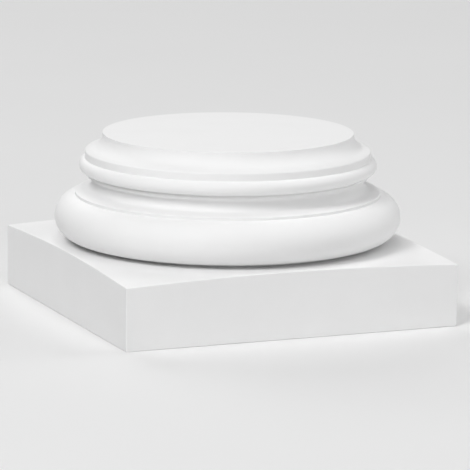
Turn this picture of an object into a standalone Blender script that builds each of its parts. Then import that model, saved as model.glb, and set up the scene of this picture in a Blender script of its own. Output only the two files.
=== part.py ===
"""Attic column base: a square plinth with a weathered top, and the round moulded base that stands on it.

Sizes are in metres. +Z is up, the column's axis is the Z axis, and the origin is the centre of the underside.
The round mouldings follow from the seat of the shaft outwards, and the plinth follows from the large torus.
"""

from math import acos, cos, pi, radians, sin, sqrt, tan

import bmesh
import bpy

# Seat of the shaft, and the hollow and shoulder that lead down from it to the band
SEAT_RADIUS = 0.1229
SEAT_LIP_HEIGHT = 0.0007
BAND_PROJECTION = 0.0172
BAND_HEIGHT = 0.0075
SHOULDER_RADIUS = 0.0347
SHOULDER_SLOPE = radians(15.4)
SHOULDER_TURN = radians(11.1)

# Roll: the upper torus, a little under a half round, standing out from the band
ROLL_PROJECTION = 0.0058
ROLL_SECTION_RADIUS = 0.0068

# Fillet under the roll, and the narrow quirk that parts the two
FILLET_SETBACK = 0.0022
FILLET_HEIGHT = 0.0023
QUIRK_DEPTH = 0.0012
QUIRK_HEIGHT = 0.0018

# Scotia: a hollow, deepest close under the fillet, that slopes out to a small step
SCOTIA_DEPTH = 0.0057
SCOTIA_UPPER_RADIUS = 0.0035
SCOTIA_LOWER_RADIUS = 0.0095
SCOTIA_SLOPE = radians(15.5)
STEP_PROJECTION = 0.0117
STEP_HEIGHT = 0.0028

# Large torus: a round section, cut off flat where it overhangs the recessed foot
TORUS_PROJECTION = 0.0201
TORUS_SECTION_RADIUS = 0.0213
TORUS_FOOT_ANGLE = radians(74.0)
FOOT_SETBACK = 0.0082
FOOT_HEIGHT = 0.0028

# Plinth: its faces stand just outside the torus, and its top falls from the foot to the four corners
PLINTH_MARGIN = 0.0003
PLINTH_CORNER_HEIGHT = 0.0607
PLINTH_TOP_SLOPE = radians(3.65)
JOINT_GAP = 0.0003

# Facets of the round surfaces
SEGMENTS = 72
HOLLOW_FACETS = 8
SHOULDER_FACETS = 3
ROLL_FACETS = 10
SCOTIA_UPPER_FACETS = 3
SCOTIA_LOWER_FACETS = 6
TORUS_FACETS = 14
CREASE_ANGLE = radians(25.0)

# Radii that follow from the projections
BAND_RADIUS = SEAT_RADIUS + BAND_PROJECTION
ROLL_CENTRE_RADIUS = BAND_RADIUS + ROLL_PROJECTION - ROLL_SECTION_RADIUS
FILLET_RADIUS = BAND_RADIUS - FILLET_SETBACK
QUIRK_RADIUS = FILLET_RADIUS - QUIRK_DEPTH
SCOTIA_RADIUS = FILLET_RADIUS - SCOTIA_DEPTH
STEP_RADIUS = FILLET_RADIUS + STEP_PROJECTION
TORUS_RADIUS = STEP_RADIUS + TORUS_PROJECTION
TORUS_CENTRE_RADIUS = TORUS_RADIUS - TORUS_SECTION_RADIUS
FOOT_RADIUS = TORUS_CENTRE_RADIUS + TORUS_SECTION_RADIUS * cos(TORUS_FOOT_ANGLE) - FOOT_SETBACK
PLINTH_HALF_SIDE = TORUS_RADIUS + PLINTH_MARGIN
PLINTH_CORNER_RADIUS = PLINTH_HALF_SIDE * sqrt(2)
PLINTH_SEAT_RADIUS = FOOT_RADIUS + JOINT_GAP

# White primer on moulded foam
PRIMER_WHITE = (0.80, 0.80, 0.79, 1.0)
PRIMER_ROUGHNESS = 0.55


def clear_scene():
    for obj in list(bpy.data.objects):
        bpy.data.objects.remove(obj, do_unlink=True)


def primer(name):
    material = bpy.data.materials.new(name)
    material.use_nodes = True
    shader = material.node_tree.nodes["Principled BSDF"]
    shader.inputs["Base Color"].default_value = PRIMER_WHITE
    shader.inputs["Roughness"].default_value = PRIMER_ROUGHNESS
    shader.inputs["Metallic"].default_value = 0.0
    return material


def linked_object(name, mesh):
    obj = bpy.data.objects.new(name, mesh)
    bpy.context.collection.objects.link(obj)
    return obj


def arc(centre_radius, centre_height, section_radius, start, end, facets):
    """Points (radius, height) of a round in the section, with both ends."""
    turn = (end - start) / facets
    return [
        (
            centre_radius + section_radius * cos(start + turn * k),
            centre_height + section_radius * sin(start + turn * k),
        )
        for k in range(facets + 1)
    ]


def turned_mesh(name, profile):
    """A section of (radius, height) points, which starts and ends on the axis, spun round the Z axis."""
    shape = bmesh.new()
    points = [shape.verts.new((radius, 0.0, height)) for radius, height in profile]
    edges = [shape.edges.new(pair) for pair in zip(points, points[1:])]
    bmesh.ops.spin(
        shape,
        geom=points + edges,
        cent=(0.0, 0.0, 0.0),
        axis=(0.0, 0.0, 1.0),
        angle=2 * pi,
        steps=SEGMENTS,
        use_merge=True,
    )
    bmesh.ops.remove_doubles(shape, verts=shape.verts, dist=0.000001)
    bmesh.ops.recalc_face_normals(shape, faces=shape.faces)
    mesh = bpy.data.meshes.new(name)
    shape.to_mesh(mesh)
    shape.free()
    mesh.shade_smooth()
    mesh.set_sharp_from_angle(angle=CREASE_ANGLE)
    return mesh


def plinth_height_at(radius):
    """The height of the plinth's top, a shallow cone, at a distance from the axis."""
    return PLINTH_CORNER_HEIGHT + (PLINTH_CORNER_RADIUS - radius) * tan(PLINTH_TOP_SLOPE)


def lower_members(foot_underside):
    """The section from the middle of the underside out and up to the step over the large torus."""
    foot_top = foot_underside + FOOT_HEIGHT
    torus_height = foot_top + TORUS_SECTION_RADIUS * sin(TORUS_FOOT_ANGLE)
    step_angle = acos((STEP_RADIUS - TORUS_CENTRE_RADIUS) / TORUS_SECTION_RADIUS)
    foot = [(0.0, foot_underside), (FOOT_RADIUS, foot_underside), (FOOT_RADIUS, foot_top)]
    torus = arc(
        TORUS_CENTRE_RADIUS,
        torus_height,
        TORUS_SECTION_RADIUS,
        -TORUS_FOOT_ANGLE,
        step_angle,
        TORUS_FACETS,
    )
    return foot + torus + [(STEP_RADIUS, torus[-1][1] + STEP_HEIGHT)]


def middle_members(step_top):
    """The section from the step in along the scotia, and up over the fillet and the quirk to the roll."""
    lower_centre_radius = SCOTIA_RADIUS + SCOTIA_LOWER_RADIUS
    slope_run = STEP_RADIUS - lower_centre_radius + SCOTIA_LOWER_RADIUS * sin(SCOTIA_SLOPE)
    deepest = step_top + slope_run * tan(SCOTIA_SLOPE) + SCOTIA_LOWER_RADIUS * cos(SCOTIA_SLOPE)
    flare = arc(
        lower_centre_radius,
        deepest,
        SCOTIA_LOWER_RADIUS,
        3 * pi / 2 - SCOTIA_SLOPE,
        pi,
        SCOTIA_LOWER_FACETS,
    )
    head = arc(
        SCOTIA_RADIUS + SCOTIA_UPPER_RADIUS,
        deepest,
        SCOTIA_UPPER_RADIUS,
        pi,
        pi / 2,
        SCOTIA_UPPER_FACETS,
    )
    fillet_underside = head[-1][1]
    fillet_top = fillet_underside + FILLET_HEIGHT
    quirk_top = fillet_top + QUIRK_HEIGHT
    fillet = [(FILLET_RADIUS, fillet_underside), (FILLET_RADIUS, fillet_top)]
    quirk = [(QUIRK_RADIUS, fillet_top), (QUIRK_RADIUS, quirk_top)]
    return flare + head[1:] + fillet + quirk


def upper_members(roll_underside):
    """The section from the roll up over the band, the shoulder and the hollow to the middle of the seat."""
    roll = arc(
        ROLL_CENTRE_RADIUS,
        roll_underside + ROLL_SECTION_RADIUS,
        ROLL_SECTION_RADIUS,
        -pi / 2,
        acos((BAND_RADIUS - ROLL_CENTRE_RADIUS) / ROLL_SECTION_RADIUS),
        ROLL_FACETS,
    )
    band_top = roll[-1][1] + BAND_HEIGHT
    edge_slope = SHOULDER_SLOPE + SHOULDER_TURN
    shoulder = arc(
        BAND_RADIUS - SHOULDER_RADIUS * sin(edge_slope),
        band_top - SHOULDER_RADIUS * cos(edge_slope),
        SHOULDER_RADIUS,
        pi / 2 - edge_slope,
        pi / 2 - SHOULDER_SLOPE,
        SHOULDER_FACETS,
    )
    shoulder_radius, shoulder_top = shoulder[-1]
    hollow_radius = (shoulder_radius - SEAT_RADIUS) / (1 - sin(SHOULDER_SLOPE))
    lip_underside = shoulder_top + hollow_radius * cos(SHOULDER_SLOPE)
    hollow = arc(
        SEAT_RADIUS + hollow_radius,
        lip_underside,
        hollow_radius,
        3 * pi / 2 - SHOULDER_SLOPE,
        pi,
        HOLLOW_FACETS,
    )
    seat_height = lip_underside + SEAT_LIP_HEIGHT
    return roll + shoulder + hollow[1:] + [(SEAT_RADIUS, seat_height), (0.0, seat_height)]


def make_turned_base():
    """The round base in one casting, from its recessed foot to the seat of the shaft."""
    lower = lower_members(plinth_height_at(PLINTH_SEAT_RADIUS) + JOINT_GAP)
    middle = middle_members(lower[-1][1])
    upper = upper_members(middle[-1][1])
    base = linked_object("turned_base", turned_mesh("turned_base", lower + middle + upper))
    base.data.materials.append(primer("turned_base_primer"))


def make_plinth():
    """The square slab, cut to a shallow cone above, with a flat seat for the round base."""
    clear_of_corners = 1.1 * PLINTH_CORNER_RADIUS
    seat_height = plinth_height_at(PLINTH_SEAT_RADIUS)
    cone = linked_object(
        "weathering_cutter",
        turned_mesh(
            "weathering_cutter",
            [
                (0.0, -PLINTH_CORNER_HEIGHT),
                (clear_of_corners, -PLINTH_CORNER_HEIGHT),
                (clear_of_corners, plinth_height_at(clear_of_corners)),
                (PLINTH_SEAT_RADIUS, seat_height),
                (0.0, seat_height),
            ],
        ),
    )
    cone.hide_render = True
    cone.display_type = "WIRE"

    block_height = 2 * seat_height
    block = bmesh.new()
    bmesh.ops.create_cube(block, size=1.0)
    bmesh.ops.scale(
        block,
        verts=block.verts,
        vec=(2 * PLINTH_HALF_SIDE, 2 * PLINTH_HALF_SIDE, block_height),
    )
    bmesh.ops.translate(block, verts=block.verts, vec=(0.0, 0.0, block_height / 2))
    mesh = bpy.data.meshes.new("plinth")
    block.to_mesh(mesh)
    block.free()

    plinth = linked_object("plinth", mesh)
    plinth.data.materials.append(primer("plinth_primer"))
    weathering = plinth.modifiers.new("Weathering", "BOOLEAN")
    weathering.operation = "INTERSECT"
    weathering.object = cone


clear_scene()
make_plinth()
make_turned_base()
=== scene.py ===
"""The looks of a column base: a square plinth and the round turned base that stands on it, in primed foam."""

from math import acos, ceil, cos, pi, radians, sin, sqrt, tan

import bpy
from mathutils import Matrix, Vector


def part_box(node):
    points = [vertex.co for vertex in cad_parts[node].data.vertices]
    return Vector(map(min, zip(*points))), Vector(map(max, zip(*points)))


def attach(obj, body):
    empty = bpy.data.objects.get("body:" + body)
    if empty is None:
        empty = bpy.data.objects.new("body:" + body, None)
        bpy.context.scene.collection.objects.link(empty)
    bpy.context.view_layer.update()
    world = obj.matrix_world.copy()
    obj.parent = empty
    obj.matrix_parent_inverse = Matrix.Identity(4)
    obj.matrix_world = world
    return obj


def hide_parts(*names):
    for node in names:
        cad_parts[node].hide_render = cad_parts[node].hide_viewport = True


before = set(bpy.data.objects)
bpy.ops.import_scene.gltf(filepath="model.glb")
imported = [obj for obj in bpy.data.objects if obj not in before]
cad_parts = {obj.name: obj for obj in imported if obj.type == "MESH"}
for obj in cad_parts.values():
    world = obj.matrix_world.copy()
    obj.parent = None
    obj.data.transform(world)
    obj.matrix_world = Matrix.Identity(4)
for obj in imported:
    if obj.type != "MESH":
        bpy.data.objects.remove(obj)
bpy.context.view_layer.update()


# The plinth: a square slab of rigid polyurethane foam, cast in a mould and primed white.
# Its top is a shallow cone that sheds water to the four corners, with a flat seat for the turned base.
# The mould eases its arrises by a little under a millimetre.

plinth_low, plinth_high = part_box("plinth")
plinth_side = plinth_high.x - plinth_low.x
plinth_seat_height = plinth_high.z
plinth_corner_height = 0.0607
plinth_top_slope = radians(3.65)
plinth_corner_radius = plinth_side / sqrt(2)
plinth_fall = plinth_seat_height - plinth_corner_height
plinth_seat_radius = plinth_corner_radius - plinth_fall / tan(plinth_top_slope)
plinth_arris = 0.0009
plinth_arris_steps = 4
cone_radius = 1.1 * plinth_corner_radius
cone_skirt = 2 * plinth_seat_height
block_height = 1.5 * plinth_seat_height
facets_round_the_cone = 240
facing_down = -0.9
crease = radians(30)


def deselect_all():
    bpy.ops.object.select_all(action="DESELECT")


def finish_with(piece, kind, **settings):
    """Adds a modifier to a piece and applies it."""
    bpy.context.view_layer.objects.active = piece
    modifier = piece.modifiers.new(kind.title(), kind)
    for name, value in settings.items():
        setattr(modifier, name, value)
    bpy.ops.object.modifier_apply(modifier=modifier.name)


def smooth_between_arrises(piece):
    """Smooths the round surfaces and keeps the flat ones flat."""
    deselect_all()
    piece.select_set(True)
    bpy.context.view_layer.objects.active = piece
    bpy.ops.object.shade_smooth_by_angle(angle=crease)
    finish_with(piece, "WEIGHTED_NORMAL", keep_sharp=True)


def choose_faces(piece, wanted):
    """Goes into edit mode with only the faces selected that the test accepts."""
    bpy.context.view_layer.objects.active = piece
    bpy.ops.object.mode_set(mode="EDIT")
    bpy.ops.mesh.select_mode(type="FACE")
    bpy.ops.mesh.select_all(action="DESELECT")
    bpy.ops.object.mode_set(mode="OBJECT")
    for face in piece.data.polygons:
        face.select = wanted(face)
    bpy.ops.object.mode_set(mode="EDIT")


def weathering_cone():
    """A solid cone over the plinth, flat at the seat, that the slab is cut to.

    It reaches past the plinth's corners, and its rim is drawn down as a skirt to below the underside.
    """
    deselect_all()
    cone_fall = (cone_radius - plinth_seat_radius) * tan(plinth_top_slope)
    bpy.ops.mesh.primitive_cone_add(
        vertices=facets_round_the_cone,
        radius1=cone_radius,
        radius2=plinth_seat_radius,
        depth=cone_fall,
        location=(0, 0, plinth_seat_height - cone_fall / 2),
    )
    cone = bpy.context.active_object
    bpy.ops.object.transform_apply(location=True)
    choose_faces(cone, lambda face: face.normal.z < facing_down)
    bpy.ops.mesh.extrude_region_move(TRANSFORM_OT_translate={"value": (0, 0, -cone_skirt)})
    bpy.ops.object.mode_set(mode="OBJECT")
    return cone


def cast_plinth():
    """A block of the plinth's width, cut to the cone, with its arrises eased."""
    cone = weathering_cone()
    deselect_all()
    bpy.ops.mesh.primitive_cube_add(
        size=1,
        location=(0, 0, block_height / 2),
        scale=(plinth_side, plinth_side, block_height),
    )
    plinth = bpy.context.active_object
    plinth.name = "plinth_casting"
    bpy.ops.object.transform_apply(location=True, scale=True)
    finish_with(plinth, "BOOLEAN", operation="INTERSECT", object=cone)
    bpy.data.objects.remove(cone, do_unlink=True)
    finish_with(
        plinth,
        "BEVEL",
        width=plinth_arris,
        segments=plinth_arris_steps,
        limit_method="ANGLE",
        angle_limit=crease,
    )
    smooth_between_arrises(plinth)
    return plinth


def to_linear(hex_colour):
    """An sRGB hex colour as the linear red, green, blue and alpha that a shader takes."""
    channels = [int(hex_colour[k : k + 2], 16) / 255 for k in (1, 3, 5)]
    return tuple(c / 12.92 if c <= 0.04045 else ((c + 0.055) / 1.055) ** 2.4 for c in channels) + (1.0,)


def add_node(tree, kind, values=None, links=None):
    """Adds a node with the values of its sockets and what is linked to its sockets."""
    node = tree.nodes.new(kind)
    for socket, value in (values or {}).items():
        node.inputs[socket].default_value = value
    for socket, output in (links or {}).items():
        tree.links.new(output, node.inputs[socket])
    return node


def sprayed_primer(name, thick, thin):
    """White primer sprayed on moulded rigid polyurethane foam.

    It gives a matt white with hardly any sheen. The coat is a little thicker in clouds, which makes it
    whiter and smoother there, and its skin has the soft orange peel of a spray gun.
    """
    refraction = 1.48
    cloud_width = 0.045
    cloud_low = 0.3
    cloud_high = 0.7
    thin_roughness = 0.76
    thick_roughness = 0.68
    peel_width = 0.0030  # about 1 mm on the real coat, drawn coarser so that it shows at all
    peel_height = 0.00002
    material = bpy.data.materials.new(name)
    material.use_nodes = True
    tree = material.node_tree
    shader = tree.nodes["Principled BSDF"]
    shader.inputs["IOR"].default_value = refraction
    shader.inputs["Metallic"].default_value = 0.0

    place = add_node(tree, "ShaderNodeTexCoord").outputs["Object"]
    clouds = add_node(
        tree,
        "ShaderNodeTexNoise",
        values={"Scale": 1 / cloud_width, "Detail": 3.0, "Roughness": 0.55},
        links={"Vector": place},
    ).outputs["Fac"]
    coat = add_node(tree, "ShaderNodeValToRGB", links={"Fac": clouds})
    coat.color_ramp.elements[0].position = cloud_low
    coat.color_ramp.elements[0].color = to_linear(thin)
    coat.color_ramp.elements[1].position = cloud_high
    coat.color_ramp.elements[1].color = to_linear(thick)
    gloss = add_node(
        tree,
        "ShaderNodeMapRange",
        values={
            "From Min": cloud_low,
            "From Max": cloud_high,
            "To Min": thin_roughness,
            "To Max": thick_roughness,
        },
        links={"Value": clouds},
    )
    peel = add_node(
        tree,
        "ShaderNodeTexNoise",
        values={"Scale": 1 / peel_width, "Detail": 1.5, "Roughness": 0.5},
        links={"Vector": place},
    )
    skin = add_node(
        tree,
        "ShaderNodeBump",
        values={"Strength": 1.0, "Distance": peel_height},
        links={"Height": peel.outputs["Fac"]},
    )
    tree.links.new(coat.outputs["Color"], shader.inputs["Base Color"])
    tree.links.new(gloss.outputs["Result"], shader.inputs["Roughness"])
    tree.links.new(skin.outputs["Normal"], shader.inputs["Normal"])
    return material


plinth = cast_plinth()
plinth.data.materials.clear()
plinth.data.materials.append(sprayed_primer("primed_foam_plinth", "#F6F6F6", "#F4F4F4"))
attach(plinth, "root")
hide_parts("plinth")


# The turned base: one round casting of the same foam, from a pattern turned on a lathe, primed white.
# From the foot up it has a large torus, a step, the scotia, a fillet, a quirk, the roll, a band,
# a shoulder and a hollow, up to the flat seat of the shaft. It is bonded to the plinth by its foot.

foot_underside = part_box("turned_base")[0].z
seat_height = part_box("turned_base")[1].z
foot_height = 0.0028
foot_setback = 0.0082
torus_radius = 0.1697
torus_section = 0.0213
torus_foot_angle = radians(74.0)
step_radius = 0.1496
step_height = 0.0028
scotia_radius = 0.1322
scotia_upper_section = 0.0035
scotia_lower_section = 0.0095
scotia_slope = radians(15.5)
fillet_radius = 0.1379
fillet_height = 0.0023
quirk_radius = 0.1367
quirk_height = 0.0018
roll_radius = 0.1459
roll_section = 0.0068
band_radius = 0.1401
band_height = 0.0075
shoulder_section = 0.0347
shoulder_slope = radians(15.4)
shoulder_turn = radians(11.1)
seat_radius = 0.1229
turned_arris = 0.00035
turned_arris_steps = 3
step_easing = 0.0005
roll_easing = 0.0007
shoulder_easing = 0.0012
easing_steps = 5
point_spacing = 0.0009
same_place = point_spacing / 10
merge_distance = point_spacing / 100
steps_round_the_axis = 240


def round_points(centre, section, start, end):
    """Points of a round in the section, a little under a millimetre apart, with both its ends."""
    steps = ceil(abs(end - start) * section / point_spacing)
    angles = [start + (end - start) * k / steps for k in range(steps + 1)]
    return [(centre[0] + section * cos(a), centre[1] + section * sin(a)) for a in angles]


def eased(points, corner, reach):
    """The section with one corner rounded off, from a short reach before it to the same reach after it."""
    place = points.index(corner)
    middle = Vector(corner)
    before = [point for point in points[:place] if (Vector(point) - middle).length > reach]
    after = [point for point in points[place + 1 :] if (Vector(point) - middle).length > reach]
    start = middle + reach * (Vector(before[-1]) - middle).normalized()
    end = middle + reach * (Vector(after[0]) - middle).normalized()
    steps = [k / easing_steps for k in range(easing_steps + 1)]
    curve = [tuple((1 - t) ** 2 * start + 2 * t * (1 - t) * middle + t**2 * end) for t in steps]
    return before + curve + after


def section_of_the_base():
    """The section's points from the middle of the foot to the middle of the seat, and its sharp corners."""
    torus_centre_radius = torus_radius - torus_section
    foot_radius = torus_centre_radius + torus_section * cos(torus_foot_angle) - foot_setback
    foot_top = foot_underside + foot_height
    foot = [(0, foot_underside), (foot_radius, foot_underside), (foot_radius, foot_top)]

    torus_centre = (torus_centre_radius, foot_top + torus_section * sin(torus_foot_angle))
    step_angle = acos((step_radius - torus_centre_radius) / torus_section)
    torus = round_points(torus_centre, torus_section, -torus_foot_angle, step_angle)
    step_top = torus[-1][1] + step_height

    lower_radius = scotia_radius + scotia_lower_section
    slope_run = step_radius - lower_radius + scotia_lower_section * sin(scotia_slope)
    deepest = step_top + slope_run * tan(scotia_slope) + scotia_lower_section * cos(scotia_slope)
    flare = round_points((lower_radius, deepest), scotia_lower_section, 1.5 * pi - scotia_slope, pi)
    upper_centre = (scotia_radius + scotia_upper_section, deepest)
    head = round_points(upper_centre, scotia_upper_section, pi, pi / 2)
    fillet_low = head[-1][1]
    fillet_top = fillet_low + fillet_height
    quirk_top = fillet_top + quirk_height

    roll_centre = (roll_radius - roll_section, quirk_top + roll_section)
    band_angle = acos((band_radius - roll_centre[0]) / roll_section)
    roll = round_points(roll_centre, roll_section, -pi / 2, band_angle)
    band_top = roll[-1][1] + band_height

    edge_slope = shoulder_slope + shoulder_turn
    shoulder_centre = (
        band_radius - shoulder_section * sin(edge_slope),
        band_top - shoulder_section * cos(edge_slope),
    )
    shoulder = round_points(shoulder_centre, shoulder_section, pi / 2 - edge_slope, pi / 2 - shoulder_slope)
    hollow_section = (shoulder[-1][0] - seat_radius) / (1 - sin(shoulder_slope))
    hollow_centre = (seat_radius + hollow_section, shoulder[-1][1] + hollow_section * cos(shoulder_slope))
    hollow = round_points(hollow_centre, hollow_section, 1.5 * pi - shoulder_slope, pi)

    middle = [(step_radius, step_top)] + flare + head[1:]
    fillet = [(fillet_radius, fillet_low), (fillet_radius, fillet_top)]
    quirk = [(quirk_radius, fillet_top), (quirk_radius, quirk_top)]
    seat = [(seat_radius, seat_height), (0, seat_height)]
    points = foot + torus + middle + fillet + quirk + roll + shoulder + hollow[1:] + seat
    points = eased(points, middle[0], step_easing)
    points = eased(points, roll[-1], roll_easing)
    points = eased(points, shoulder[0], shoulder_easing)
    corners = foot[1:] + [torus[0], torus[-1]] + fillet + quirk + [seat[0]]
    return points, corners


def turn_base():
    """The section, drawn out point by point with its corners eased, and spun round the axis."""
    points, corners = section_of_the_base()
    deselect_all()
    bpy.ops.mesh.primitive_plane_add(size=point_spacing, location=(points[0][0], 0, points[0][1]))
    base = bpy.context.active_object
    base.name = "turned_base_casting"
    bpy.ops.object.transform_apply(location=True)
    bpy.ops.object.mode_set(mode="EDIT")
    bpy.ops.mesh.select_mode(type="VERT")
    bpy.ops.mesh.merge(type="CENTER")
    for here, there in zip(points, points[1:]):
        reach = (there[0] - here[0], 0, there[1] - here[1])
        bpy.ops.mesh.extrude_vertices_move(TRANSFORM_OT_translate={"value": reach})
    bpy.ops.mesh.select_all(action="DESELECT")
    bpy.ops.object.mode_set(mode="OBJECT")

    sharp = [Vector((radius, 0, height)) for radius, height in corners]
    for vertex in base.data.vertices:
        vertex.select = any((vertex.co - place).length < same_place for place in sharp)
    bpy.ops.object.mode_set(mode="EDIT")
    bpy.ops.mesh.bevel(offset=turned_arris, segments=turned_arris_steps, affect="VERTICES")
    bpy.ops.mesh.select_all(action="SELECT")
    bpy.ops.mesh.spin(steps=steps_round_the_axis, angle=2 * pi, center=(0, 0, 0), axis=(0, 0, 1))
    bpy.ops.mesh.select_all(action="SELECT")
    bpy.ops.mesh.remove_doubles(threshold=merge_distance)
    bpy.ops.mesh.normals_make_consistent(inside=False)
    bpy.ops.object.mode_set(mode="OBJECT")
    smooth_between_arrises(base)
    return base


turned_base = turn_base()
turned_base.data.materials.append(sprayed_primer("primed_foam_turned_base", "#F6F6F6", "#F4F4F4"))
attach(turned_base, "root")
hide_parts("turned_base")


# The floor: a wide sweep of pale background paper, which the base stands on.
# It isn't part of the base.

floor_width = 60


def background_paper():
    """Pale uncoated paper: quite matt, with a faint cloudiness from its fibres."""
    clouds_to_the_metre = 3.0
    material = bpy.data.materials.new("white_background_paper")
    material.use_nodes = True
    tree = material.node_tree
    shader = tree.nodes["Principled BSDF"]
    shader.inputs["Roughness"].default_value = 0.9
    shader.inputs["Specular IOR Level"].default_value = 0.2
    place = add_node(tree, "ShaderNodeTexCoord").outputs["Object"]
    clouds = add_node(
        tree,
        "ShaderNodeTexNoise",
        values={"Scale": clouds_to_the_metre, "Detail": 2.0},
        links={"Vector": place},
    )
    pulp = add_node(tree, "ShaderNodeValToRGB", links={"Fac": clouds.outputs["Fac"]})
    pulp.color_ramp.elements[0].color = to_linear("#E9E9E9")
    pulp.color_ramp.elements[1].color = to_linear("#EBEBEB")
    tree.links.new(pulp.outputs["Color"], shader.inputs["Base Color"])
    return material


deselect_all()
bpy.ops.mesh.primitive_plane_add(size=floor_width, location=(0, 0, 0))
floor = bpy.context.active_object
floor.name = "paper_floor"
floor.data.materials.append(background_paper())


# The light: one strong soft box high on the left, and weaker ones in front, to the right, behind and
# overhead, in a dim white room. They stand well back, so that the paper is lit evenly.
# The azimuth is 0 in front of the plinth and grows to the right, in degrees, and the power is in watts.

lamp_distance = 9.0
lamp_width = 3.4
room_glow = 0.05


def soft_box(name, azimuth, elevation, power):
    """A square area light that faces the middle of the base."""
    turn = radians(azimuth)
    rise = radians(elevation)
    aim = Vector((0, 0, seat_height / 2))
    back = Vector((sin(turn) * cos(rise), -cos(turn) * cos(rise), sin(rise)))
    lamp = bpy.data.lights.new(name, "AREA")
    lamp.shape = "SQUARE"
    lamp.size = lamp_width
    lamp.energy = power
    holder = bpy.data.objects.new(name, lamp)
    holder.location = aim + lamp_distance * back
    holder.rotation_mode = "QUATERNION"
    holder.rotation_quaternion = back.to_track_quat("Z", "Y")
    bpy.context.collection.objects.link(holder)


soft_box("key_soft_box", azimuth=-60, elevation=46, power=405)
soft_box("front_high_soft_box", azimuth=-10, elevation=45, power=110)
soft_box("front_low_soft_box", azimuth=0, elevation=15, power=90)
soft_box("right_low_soft_box", azimuth=90, elevation=15, power=130)
soft_box("right_high_soft_box", azimuth=90, elevation=40, power=100)
soft_box("back_soft_box", azimuth=180, elevation=32, power=190)
soft_box("ceiling_soft_box", azimuth=0, elevation=90, power=160)

white_room = bpy.data.worlds.new("white_room")
white_room.use_nodes = True
white_room.node_tree.nodes["Background"].inputs["Color"].default_value = (1, 1, 1, 1)
white_room.node_tree.nodes["Background"].inputs["Strength"].default_value = room_glow
bpy.context.scene.world = white_room
bpy.context.scene.view_settings.view_transform = "Standard"


# The camera: a long lens, low in front and to the left, at the photograph's angle.
# It looks down by its elevation and is turned a little about its own axis.

camera_place = Vector((-1.38815, -3.40662, 0.77179))
camera_turn = radians(-22.288)
camera_elevation = radians(10.805)
camera_roll = radians(0.487)

camera_data = bpy.data.cameras.new("camera")
camera_data.sensor_width = 36
camera_data.lens = 291.66
camera_data.clip_end = 200
camera = bpy.data.objects.new("camera", camera_data)
camera.matrix_world = (
    Matrix.Translation(camera_place)
    @ Matrix.Rotation(camera_turn, 4, "Z")
    @ Matrix.Rotation(pi / 2 - camera_elevation, 4, "X")
    @ Matrix.Rotation(camera_roll, 4, "Z")
)
bpy.context.collection.objects.link(camera)
bpy.context.scene.camera = camera
